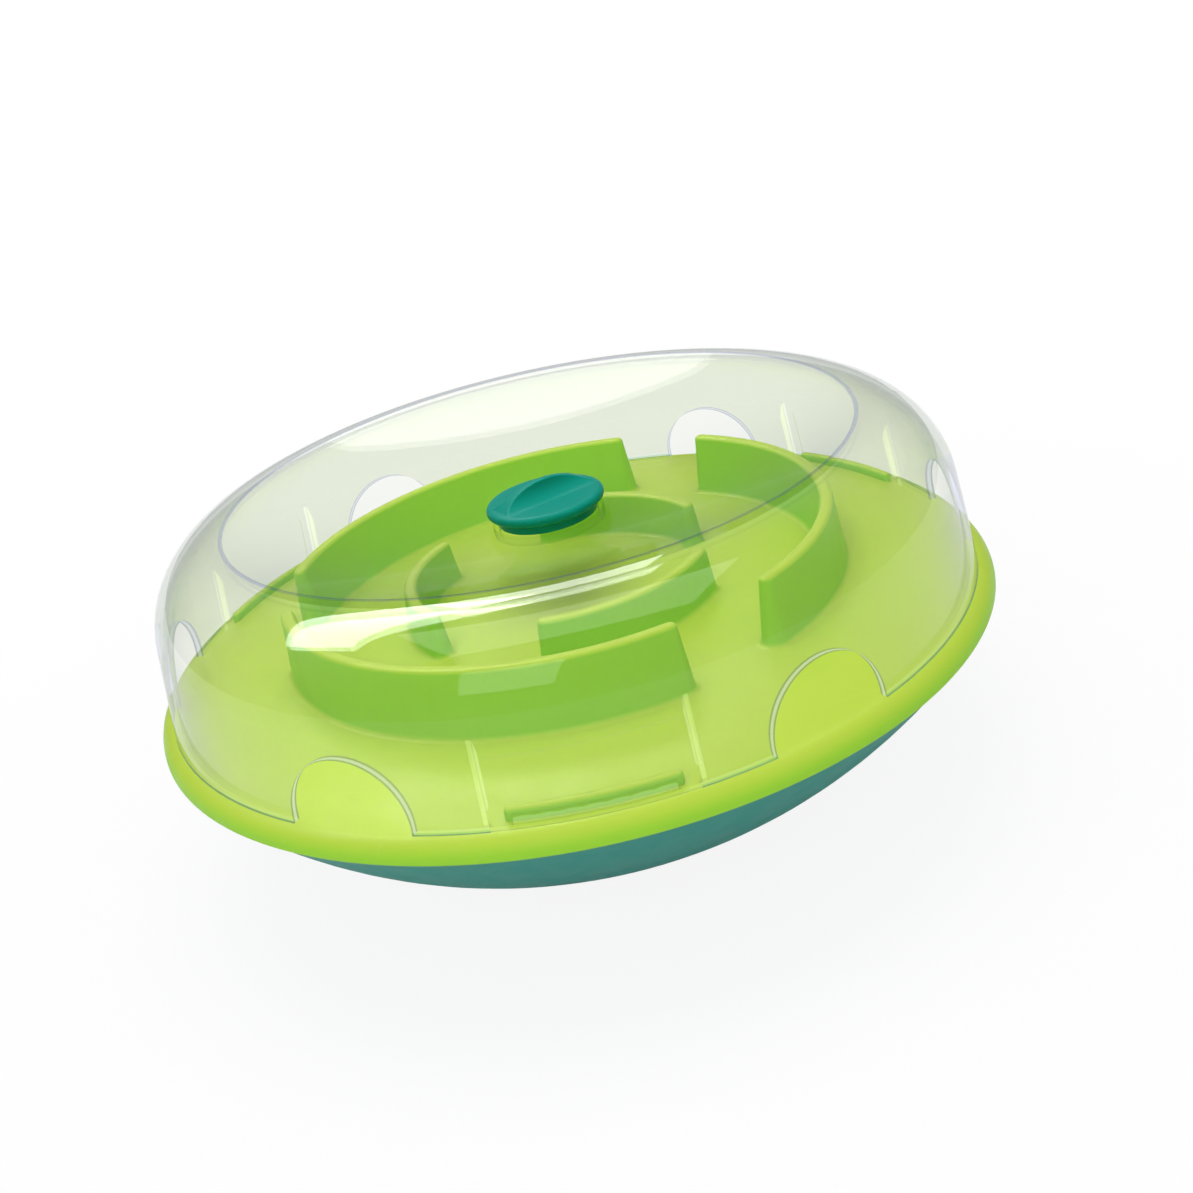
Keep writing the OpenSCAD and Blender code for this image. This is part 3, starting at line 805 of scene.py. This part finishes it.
LIME_FINISH = MouldedFinish(name="lime_tray_plastic", level=(0.46, 0.625, 0.06, 1.0),
                            upright=(0.335, 0.7, 0.045, 1.0), pale=(0.72, 0.8, 0.3, 1.0),
                            gloss=0.34, glow=0.1, mirror=0.12)
TEAL_FINISH = MouldedFinish(name="teal_bowl_plastic", level=(0.026, 0.265, 0.217, 1.0),
                            upright=(0.028, 0.285, 0.232, 1.0), pale=(0.2, 0.45, 0.42, 1.0),
                            gloss=0.38, mirror=0.4)
PLUG_FINISH = MouldedFinish(name="teal_plug_plastic", level=(0.002, 0.275, 0.21, 1.0),
                            upright=(0.001, 0.23, 0.145, 1.0), pale=(0.2, 0.5, 0.45, 1.0),
                            gloss=0.34, mirror=0.08)
CLEAR_FINISH = ClearFinish()
STEEL_FINISH = MetalFinish(name="plated_steel", bright=(0.62, 0.62, 0.64, 1.0), dull=(0.5, 0.49, 0.47, 1.0),
                           gloss=0.28, spread=0.16, grain=0.006)
IRON_FINISH = MetalFinish(name="cast_iron", bright=(0.13, 0.13, 0.14, 1.0), dull=(0.08, 0.075, 0.07, 1.0),
                          gloss=0.55, spread=0.2, grain=0.05)


def mount(piece: bpy.types.Object, body: Body, slot: Slot, finish: bpy.types.Material,
          *stands_for: str) -> None:
    """Dresses a new piece and hangs it on its body.

    Args:
        piece: The piece.
        body: Body that it rides on.
        slot: Material slot of the frame; not used.
        finish: Its material.
        stands_for: CAD nodes that it replaces.
    """
    piece.data.materials.clear()
    piece.data.materials.append(finish)
    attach(piece, body.value)
    if stands_for:
        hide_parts(*stands_for)
    LOG.info("%s: %d faces, rides on %s", piece.name, len(piece.data.polygons), body.value)


def dress_node(node: str, finish: bpy.types.Material) -> None:
    """Gives a CAD node a material in every slot it has.

    Args:
        node: Name of the node.
        finish: The material.
    """
    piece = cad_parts[node]
    for slot in piece.material_slots:
        slot.material = finish
    LOG.info("%s: CAD node dressed in %s", node, finish.name)


@dataclass
class RockerBowl:
    """The weighted bowl, whose CAD mesh is dressed as it is."""

    finish: MouldedFinish = TEAL_FINISH

    def build(self) -> None:
        """Dresses the bowl."""
        dress_node("base_shell", self.finish.material())


@dataclass
class Hardware:
    """Ballast, washers and screws, which show only from below or with the toy apart."""

    steel: MetalFinish = STEEL_FINISH
    iron: MetalFinish = IRON_FINISH

    def build(self) -> None:
        """Dresses the metal pieces."""
        plated = self.steel.material()
        for node in ("ballast_washers", "ballast_screws", "tray_screws"):
            dress_node(node, plated)
        dress_node("ballast_weight", self.iron.material())


@dataclass(frozen=True)
class WallRing:
    """One ring of maze walls.

    Attributes:
        name: Name of the ring.
        radius: Radius of the walls' middle line.
        height: Height of the crests above the floor.
        span: Angle from end to end of a crest.
        turn: Angle of the first wall's middle.
        steps: Segments along a wall.
    """

    name: str
    radius: float
    height: float
    span: float
    turn: float
    steps: int


@dataclass
class MazeTray:
    """The lime tray: rolled flange, raised floor, two rings of walls and three lugs.

    Sizes are in millimetres and degrees, in the CAD frame.

    Attributes:
        finish: Its plastic.
        flange_r: Outer radius of the flange.
        flange_round: Radius of the flange's roll.
        rim_z: Height of the flange's top.
        lip_z: Height of the flange's lower edge.
        lip_round: Rounding of that edge.
        skin: Thickness of floor and flange.
        floor_z: Height of the level floor.
        slope_start_r: Radius at which the floor starts to slope.
        slope_lead: Length of the slope's first band.
        slope_end_r: Radius at which the slope ends.
        slope_end_z: Height at which the slope ends.
        floor_edge_r: Radius at which the floor meets the flange.
        crest_half: Half of a wall's thickness at its crest.
        crest_round: Rounding of a crest.
        draft: Lean of a wall's sides.
        foot_fillet: Radius of the fillet at a wall's foot.
        sink: How far walls and lugs reach into the floor.
        wall_count: Walls in a ring, and lugs.
        lug_span: Angle from end to end of a lug.
        lug_face_r: Radius of a lug's outer face.
        lug_w: Width of a lug.
        lug_h: Height of a lug above the level floor.
        lug_round: Rounding of a lug's edges.
        front: Angle of the front lug.
        floor_rings: Radii of the edges in the level floor.
        under_rings: Radii of the edges under it.
        steps: Segments round the deck.
        roll_steps: Segments across the flange's roll, outside and inside.
        lip_steps: Segments across its lower edge.
        round_steps: Segments across a crest or a fillet.
        end_steps: Segments round a wall's end.
        lug_steps: Segments along a lug.
        lug_rows: Segments across a lug's rounding.
        crisp: Angle past which an edge of a wall or a lug stays crisp.
        rings: The rings of walls.
    """

    finish: MouldedFinish = LIME_FINISH
    flange_r: float = 140.0
    flange_round: float = 5.5
    rim_z: float = 72.5
    lip_z: float = 66.3
    lip_round: float = 0.5
    skin: float = 3.0
    floor_z: float = 76.1
    slope_start_r: float = 98.0
    slope_lead: float = 8.0
    slope_end_r: float = 128.8
    slope_end_z: float = 73.6
    floor_edge_r: float = 132.0
    crest_half: float = 2.1
    crest_round: float = 1.5
    draft: float = 6.0
    foot_fillet: float = 1.8
    sink: float = 1.0
    wall_count: int = 3
    lug_span: float = 21.0
    lug_face_r: float = 131.38
    lug_w: float = 2.8
    lug_h: float = 0.5
    lug_round: float = 1.2
    front: float = -90.0
    floor_rings: tuple[float, ...] = (0.0, 12.0, 30.0, 60.0, 80.0)
    under_rings: tuple[float, ...] = (60.0, 30.0, 0.0)
    steps: int = 240
    roll_steps: tuple[int, int] = (18, 10)
    lip_steps: int = 5
    round_steps: int = 8
    end_steps: int = 16
    lug_steps: int = 24
    lug_rows: int = 4
    crisp: float = 30.0
    rings: list[WallRing] = field(default_factory=lambda: [
        WallRing("outer", 90.5, 21.6, 100.0, 0.0, 72), WallRing("inner", 50.5, 15.0, 76.0, 58.0, 40)])

    def build(self) -> None:
        """Models and dresses the whole tray."""
        finish = self.finish.material()
        mount(self.deck(), Body.BASE, Slot.LIME, finish, "maze_tray")
        for ring in self.rings:
            self.repeat(self.wall(ring), f"{ring.name}_wall", finish)
        self.repeat(self.lug(), "lug", finish)

    def repeat(self, first: bpy.types.Object, stem: str, finish: bpy.types.Material) -> None:
        """Copies a piece round the toy's axis and mounts it with its copies.

        Args:
            first: The piece.
            stem: Start of the copies' names.
            finish: Their material.
        """
        for i in range(1, self.wall_count):
            copy = Bench.copy_turned(first, f"{stem}_{i + 1}", i * 360 / self.wall_count)
            mount(copy, Body.BASE, Slot.LIME, finish)
        mount(first, Body.BASE, Slot.LIME, finish)

    def deck(self) -> bpy.types.Object:
        """Turns the floor, its sloping edge and the rolled flange.

        Returns:
            The deck.
        """
        rolled_r = self.flange_r - self.flange_round
        rolled_z = self.rim_z - self.flange_round
        under_z = self.floor_z - self.skin
        lip = self.lip_round
        fall = (self.floor_z - self.slope_end_z) / (self.slope_end_r - self.slope_start_r)
        profile: list[Point] = [(r, self.floor_z) for r in (*self.floor_rings, self.slope_start_r)]
        profile += [(self.slope_start_r + self.slope_lead, self.floor_z - self.slope_lead * fall)]
        profile += [(self.slope_end_r, self.slope_end_z), (self.floor_edge_r, self.rim_z)]
        profile += arc((rolled_r, rolled_z), self.flange_round, 90, 0, self.roll_steps[0])
        profile += arc((self.flange_r - lip, self.lip_z + lip), lip, 0, -90, self.lip_steps)
        profile += [(self.flange_r - self.skin, self.lip_z)]
        profile += arc((rolled_r, rolled_z), self.flange_round - self.skin, 0, 90, self.roll_steps[1])
        profile += [(self.slope_end_r - self.skin, self.rim_z - self.skin)]
        profile += [(r, under_z) for r in (self.slope_start_r, *self.under_rings)]
        return Bench.lathe("tray_deck", profile, self.steps)

    def wall_profile(self, ring: WallRing) -> list[Point]:
        """Gives half of a wall's section, from the middle of its crest down into the floor.

        Args:
            ring: Ring that the wall belongs to.

        Returns:
            Distance from the wall's middle, and height, of each point.
        """
        foot_half = self.crest_half + ring.height * math.tan(math.radians(self.draft))
        ease = math.tan(math.radians(45 - self.draft / 2))
        reach = self.foot_fillet * ease
        top_z = self.floor_z + ring.height
        crest = (self.crest_half - self.crest_round * ease, top_z - self.crest_round)
        fillet = (foot_half + reach, self.floor_z + self.foot_fillet)
        points: list[Point] = [(0.0, top_z)]
        points += arc(crest, self.crest_round, 90, self.draft, self.round_steps)
        points += arc(fillet, self.foot_fillet, 180 + self.draft, 270, self.round_steps)
        return points + [(foot_half + reach, self.floor_z - self.sink)]

    def wall(self, ring: WallRing) -> bpy.types.Object:
        """Sweeps half of a wall's section out along the wall, round its end, back, and round its other end.

        Args:
            ring: Ring that the wall belongs to.

        Returns:
            The first wall of the ring.
        """
        end = ring.span / 2 - math.degrees(math.atan2(self.crest_half, ring.radius))
        low, high = ring.turn - end, ring.turn + end
        out = at_angle(1.0, low)
        points = [out * (ring.radius + r) + Vector((0, 0, z * MM)) for r, z in self.wall_profile(ring)]
        piece = Bench.start_line(f"{ring.name}_wall_1", points)
        bpy.ops.mesh.select_all(action="SELECT")
        Bench.turn(2 * end, Vector(), ring.steps)
        Bench.turn(180, at_angle(ring.radius, high), self.end_steps)
        Bench.turn(-2 * end, Vector(), ring.steps)
        Bench.turn(180, at_angle(ring.radius, low), self.end_steps)
        bpy.ops.mesh.select_all(action="SELECT")
        bpy.ops.mesh.remove_doubles(threshold=MERGE_M)
        bottom = (self.floor_z - self.sink / 2) * MM
        Bench.pick(piece, lambda place: place.z < bottom)
        bpy.ops.mesh.edge_face_add()
        return Bench.finish(piece, self.crisp)

    def lug(self) -> bpy.types.Object:
        """Turns the front lug, rounds its edges and seats it in the floor's edge.

        Returns:
            The front lug.
        """
        low_z = self.rim_z - self.sink
        top_z = self.floor_z + self.lug_h
        inner_r = self.lug_face_r - self.lug_w
        corners = [(inner_r, low_z), (self.lug_face_r, low_z), (self.lug_face_r, top_z), (inner_r, top_z)]
        first = self.front - self.lug_span / 2
        out = at_angle(1.0, first)
        points = [out * r + Vector((0, 0, z * MM)) for r, z in corners]
        piece = Bench.start_line("lug_1", points)
        bpy.ops.mesh.select_all(action="SELECT")
        bpy.ops.mesh.edge_face_add()
        Bench.turn(self.lug_span, Vector(), self.lug_steps)
        bpy.ops.mesh.select_all(action="SELECT")
        bpy.ops.mesh.remove_doubles(threshold=MERGE_M)
        bpy.ops.mesh.normals_make_consistent(inside=False)
        bpy.ops.object.mode_set(mode="OBJECT")
        Bench.apply(piece, "BEVEL", width=self.lug_round * MM, segments=self.lug_rows,
                    limit_method="ANGLE", angle_limit=math.radians(50))
        bpy.ops.object.mode_set(mode="EDIT")
        return Bench.finish(piece, self.crisp)


@dataclass
class ClearLid:
    """The clear dished lid, whose CAD mesh is dressed as it is."""

    finish: ClearFinish = CLEAR_FINISH

    def build(self) -> None:
        """Dresses the lid."""
        dress_node("dome_lid", self.finish.material())


@dataclass
class FillPlug:
    """The teal plug in the filling hole: a soft-edged disc with a pinch fin and a hollow neck.

    Sizes are in millimetres and degrees, in the CAD frame.

    Attributes:
        finish: Its plastic.
        seat_z: Height of the lid's top round the hole.
        disc_r: Radius of the disc.
        disc_t: Thickness of the disc.
        disc_round: Rounding of the disc's edge.
        neck_r: Outer radius of the neck.
        neck_wall: Thickness of the neck's wall.
        neck_h: Length of the neck below the disc.
        fin_l: Length of the fin.
        fin_h: Height of the fin above the disc.
        fin_t: Thickness of the fin's crest.
        fin_turn: Angle of the fin about the toy's axis.
        sink: How far the fin reaches into the disc.
        steps: Segments round the disc.
        round_steps: Segments across its edge, and across a side of the fin.
        arch_steps: Segments of the full circle that cuts the fin's arch.
        voxel: Grain of the mesh in which disc and fin become one.
        softening: Rounds of smoothing that soften them into each other.
    """

    finish: MouldedFinish = PLUG_FINISH
    seat_z: float = 108.21
    disc_r: float = 19.8
    disc_t: float = 3.6
    disc_round: float = 1.8
    neck_r: float = 16.6
    neck_wall: float = 2.0
    neck_h: float = 3.4
    fin_l: float = 34.0
    fin_h: float = 6.0
    fin_t: float = 2.6
    fin_turn: float = 28.0
    sink: float = 1.2
    steps: int = 160
    round_steps: int = 12
    arch_steps: int = 256
    voxel: float = 0.3
    softening: int = 7

    def build(self) -> None:
        """Models and dresses the plug."""
        disc = self.disc()
        fin = self.fin()
        Bench.apply(disc, "BOOLEAN", operation="UNION", object=fin, solver="EXACT")
        bpy.data.objects.remove(fin)
        Bench.apply(disc, "REMESH", mode="VOXEL", voxel_size=self.voxel * MM, use_smooth_shade=True)
        Bench.apply(disc, "SMOOTH", factor=0.5, iterations=self.softening)
        mount(disc, Body.PLUG, Slot.TEAL, self.finish.material(), "fill_plug")

    def disc(self) -> bpy.types.Object:
        """Turns the disc and its neck.

        Returns:
            The disc.
        """
        top = self.seat_z + self.disc_t
        flat_r = self.disc_r - self.disc_round
        low = self.seat_z - self.neck_h
        inner = self.neck_r - self.neck_wall
        profile: list[Point] = [(r, top) for r in (0.0, 6.0, 12.0)]
        edge = (flat_r, self.seat_z + self.disc_round)
        profile += arc(edge, self.disc_round, 90, -90, self.round_steps)
        profile += [(self.neck_r, self.seat_z), (self.neck_r, low), (inner, low), (inner, self.seat_z)]
        profile += [(0.0, self.seat_z)]
        return Bench.lathe("pinch_plug", profile, self.steps)

    def fin(self) -> bpy.types.Object:
        """Draws the fin's hollow-sided section, extrudes it and cuts its arch.

        Returns:
            The fin.
        """
        scoop = self.fin_h
        half = self.fin_t / 2
        side = arc((half + scoop, scoop), scoop, 270, 180, self.round_steps)
        section = [(half + scoop, -self.sink)] + side
        section += [(-x, z) for x, z in reversed(section)]
        top = self.seat_z + self.disc_t
        along = at_angle(1.0, self.fin_turn)
        across = at_angle(1.0, self.fin_turn + 90)
        start = along * (-self.fin_l / 2)
        points = [start + across * x + Vector((0, 0, (top + z) * MM)) for x, z in section]
        piece = Bench.start_line("pinch_fin", points)
        bpy.ops.mesh.select_all(action="SELECT")
        bpy.ops.mesh.edge_face_add()
        bpy.ops.mesh.extrude_region_move(TRANSFORM_OT_translate={"value": along * self.fin_l})
        Bench.finish(piece)
        arch_r = ((self.fin_l / 2) ** 2 + self.fin_h ** 2) / (2 * self.fin_h)
        Bench.clear_selection()
        bpy.ops.mesh.primitive_cylinder_add(vertices=self.arch_steps, radius=arch_r * MM,
                                            depth=2 * self.disc_r * MM,
                                            location=(0, 0, (top + self.fin_h - arch_r) * MM),
                                            rotation=(math.pi / 2, 0, math.radians(self.fin_turn)))
        arch = bpy.context.object
        bpy.ops.object.transform_apply(location=True, rotation=True, scale=True)
        Bench.apply(piece, "BOOLEAN", operation="INTERSECT", object=arch, solver="EXACT")
        bpy.data.objects.remove(arch)
        return piece


@dataclass(frozen=True)
class SoftBox:
    """An area lamp aimed at the toy.

    Attributes:
        name: Name of the lamp.
        place: Where it hangs, in metres.
        aim: Point that it faces, in metres.
        width: Its width in metres.
        height: Its height in metres.
        watts: Its power.
        mirrored: Whether glossy surfaces show it.
        lights: Whether it lights dull surfaces.
    """

    name: str
    place: tuple[float, float, float]
    aim: tuple[float, float, float]
    width: float
    height: float
    watts: float
    mirrored: bool = True
    lights: bool = True

    def hang(self) -> None:
        """Adds the lamp to the scene."""
        data = bpy.data.lights.new(self.name, "AREA")
        data.shape = "RECTANGLE"
        data.size, data.size_y = self.width, self.height
        data.energy = self.watts
        lamp = bpy.data.objects.new(self.name, data)
        lamp.visible_glossy, lamp.visible_diffuse = self.mirrored, self.lights
        bpy.context.scene.collection.objects.link(lamp)
        away = Vector(self.aim) - Vector(self.place)
        facing = away.to_track_quat("-Z", "Y").to_matrix().to_4x4()
        lamp.matrix_world = Matrix.Translation(self.place) @ facing


@dataclass
class Studio:
    """White studio: floor, sky, lamps and the camera at the photograph's angle.

    Attributes:
        elevation: Camera's angle above the tray in degrees.
        roll: Camera's roll in degrees.
        turn: Camera's turn about the toy's axis in degrees.
        stand: Where the camera stands in metres.
        lens: Its focal length in millimetres.
        sensor: Its sensor's width in millimetres.
        sky_level: Strength of the sky as a light.
        mirrored_rise: Upward directions between which the mirrored sky darkens.
        mirrored_low: Its strength at the horizon.
        mirrored_high: Its strength overhead.
        floor_r: Radius of the floor in metres.
        floor_drop: How far the floor lies under the toy in metres.
        floor_tone: Darkest and palest tone of the floor.
        floor_rough: Roughness of the floor.
        mottle_scale: Patches of the floor's tone to a metre.
        mottle_detail: Number of finer layers in them.
        shadow_share: Share of the true shadow that the floor shows.
        shadow_reach: Distances in metres between which the shadow fades.
        mirror_reach: Distances in metres between which the mirrored floor turns plain white.
        bounces: Most times that light is followed.
        clear_bounces: Most times that it is followed through plastic or off it.
        boxes: The lamps.
    """

    elevation: float = 24.0
    roll: float = -12.5
    turn: float = 0.9
    stand: tuple[float, float, float] = (0.01675, -0.44849, 0.27195)
    lens: float = 43.605
    sensor: float = 36.0
    sky_level: float = 0.5
    mirrored_rise: Point = (0.0, 0.35)
    mirrored_low: float = 0.35
    mirrored_high: float = 0.08
    floor_r: float = 3.0
    floor_drop: float = 0.0002
    floor_tone: Point = (0.86, 0.88)
    floor_rough: float = 0.9
    mottle_scale: float = 40.0
    mottle_detail: float = 3.0
    shadow_share: float = 0.11
    shadow_reach: Point = (0.12, 0.42)
    mirror_reach: Point = (0.15, 0.5)
    bounces: int = 40
    clear_bounces: int = 32
    boxes: list[SoftBox] = field(default_factory=lambda: [
        SoftBox("top_box", (0.0, -0.05, 0.95), (0.0, 0.0, 0.1), 0.8, 0.6, 4.8, mirrored=False),
        SoftBox("back_box", (-0.043, 0.606, 0.784), (0.0, 0.0, 0.12), 0.3, 0.22, 1.6, lights=False),
        SoftBox("left_box", (-0.41, 0.37, 0.829), (0.0, 0.0, 0.12), 0.8, 0.25, 6.3, lights=False),
        SoftBox("front_box", (-0.25, -0.8, 0.6), (0.0, 0.0, 0.08), 0.4, 0.4, 1.6, mirrored=False),
    ])

    def build(self) -> None:
        """Sets up the whole studio."""
        bpy.context.scene.view_settings.view_transform = "Standard"
        cycles = bpy.context.scene.cycles
        cycles.max_bounces = self.bounces
        cycles.glossy_bounces = cycles.transmission_bounces = self.clear_bounces
        cycles.transparent_max_bounces = self.clear_bounces
        cycles.caustics_reflective = False
        cycles.caustics_refractive = False
        self.sky()
        self.floor()
        for box in self.boxes:
            box.hang()
        self.camera()

    def sky(self) -> None:
        """Makes the sky white to the eye and through the lid, darker to gloss, and dimmer as a light."""
        world = bpy.data.worlds.new("studio_sky")
        world.use_nodes = True
        bpy.context.scene.world = world
        sheet = NodeSheet(world.node_tree)
        background = world.node_tree.nodes["Background"]
        background.inputs["Color"].default_value = (1.0, 1.0, 1.0, 1.0)
        path = sheet.add("LightPath")
        where = sheet.add("SeparateXYZ")
        sheet.set(where.inputs[0], sheet.add("TexCoord").outputs["Object"])
        mirrored = sheet.ramp(where.outputs["Z"], *self.mirrored_rise, self.mirrored_low,
                              self.mirrored_high)
        change = sheet.math("SUBTRACT", mirrored, self.sky_level)
        change = sheet.math("MULTIPLY", path.outputs["Is Glossy Ray"], change)
        level = sheet.math("ADD", self.sky_level, change)
        seen = sheet.math("MAXIMUM", path.outputs["Is Camera Ray"], path.outputs["Is Transmission Ray"])
        sheet.set(background.inputs["Strength"], sheet.math("MAXIMUM", seen, level))

    def floor(self) -> None:
        """Lays a round white floor that keeps a soft shadow near the toy and fades into the sky."""
        Bench.clear_selection()
        bpy.ops.mesh.primitive_circle_add(vertices=128, radius=self.floor_r, fill_type="NGON",
                                          location=(0, 0, -self.floor_drop))
        floor = bpy.context.object
        floor.name = floor.data.name = "studio_floor"
        bpy.ops.object.transform_apply(location=True, rotation=True, scale=True)
        material, sheet, shader = new_material("studio_floor")
        where = sheet.add("TexCoord")
        length = sheet.add("VectorMath", operation="LENGTH")
        sheet.set(length.inputs[0], where.outputs["Object"])
        shade = sheet.ramp(length.outputs["Value"], *self.shadow_reach, self.shadow_share, 0.0)
        under = sheet.ramp(length.outputs["Value"], *self.mirror_reach, 1.0, 0.0)
        mottle = sheet.noise(where.outputs["Object"], self.mottle_scale, self.mottle_detail)
        tone = sheet.ramp(mottle, *NOISE_RANGE, *self.floor_tone)
        sheet.hold(shader, {"Roughness": self.floor_rough, "Specular IOR Level": 0.0})
        sheet.set(shader.inputs["Base Color"], tone)
        white = sheet.add("Emission")
        path = sheet.add("LightPath")
        seen = sheet.math("MAXIMUM", path.outputs["Is Camera Ray"], path.outputs["Is Transmission Ray"])
        seen = sheet.math("MULTIPLY", seen, sheet.math("SUBTRACT", 1.0, shade))
        far = sheet.math("SUBTRACT", 1.0, under)
        mirrored = sheet.math("MULTIPLY", path.outputs["Is Glossy Ray"], far)
        sheet.blend(sheet.math("MAXIMUM", seen, mirrored), shader, white)
        floor.data.materials.append(material)

    def camera(self) -> None:
        """Places the camera at the photograph's angle, rolled as the rocking toy is tilted there."""
        data = bpy.data.cameras.new("studio_camera")
        data.lens, data.sensor_width = self.lens, self.sensor
        data.clip_start, data.clip_end = 0.01, 50.0
        camera = bpy.data.objects.new("studio_camera", data)
        bpy.context.scene.collection.objects.link(camera)
        tilt, roll = math.radians(self.elevation), math.radians(self.roll)
        back = Vector((0, -math.cos(tilt), math.sin(tilt)))
        side = Vector((1, 0, 0))
        up = back.cross(side)
        right = side * math.cos(roll) + up * math.sin(roll)
        above = up * math.cos(roll) - side * math.sin(roll)
        axes = Matrix((right, above, back)).transposed().to_4x4()
        axes = Matrix.Rotation(math.radians(self.turn), 4, "Z") @ axes
        camera.matrix_world = Matrix.Translation(self.stand) @ axes
        bpy.context.scene.camera = camera


def main() -> None:
    """Builds the toy's sub-assemblies in order, then the studio round them."""
    logging.basicConfig(level=logging.INFO, format="%(name)s: %(message)s")
    for assembly in (RockerBowl(), Hardware(), MazeTray(), ClearLid(), FillPlug()):
        assembly.build()
    Studio().build()


if __name__ == "__main__":
    main()
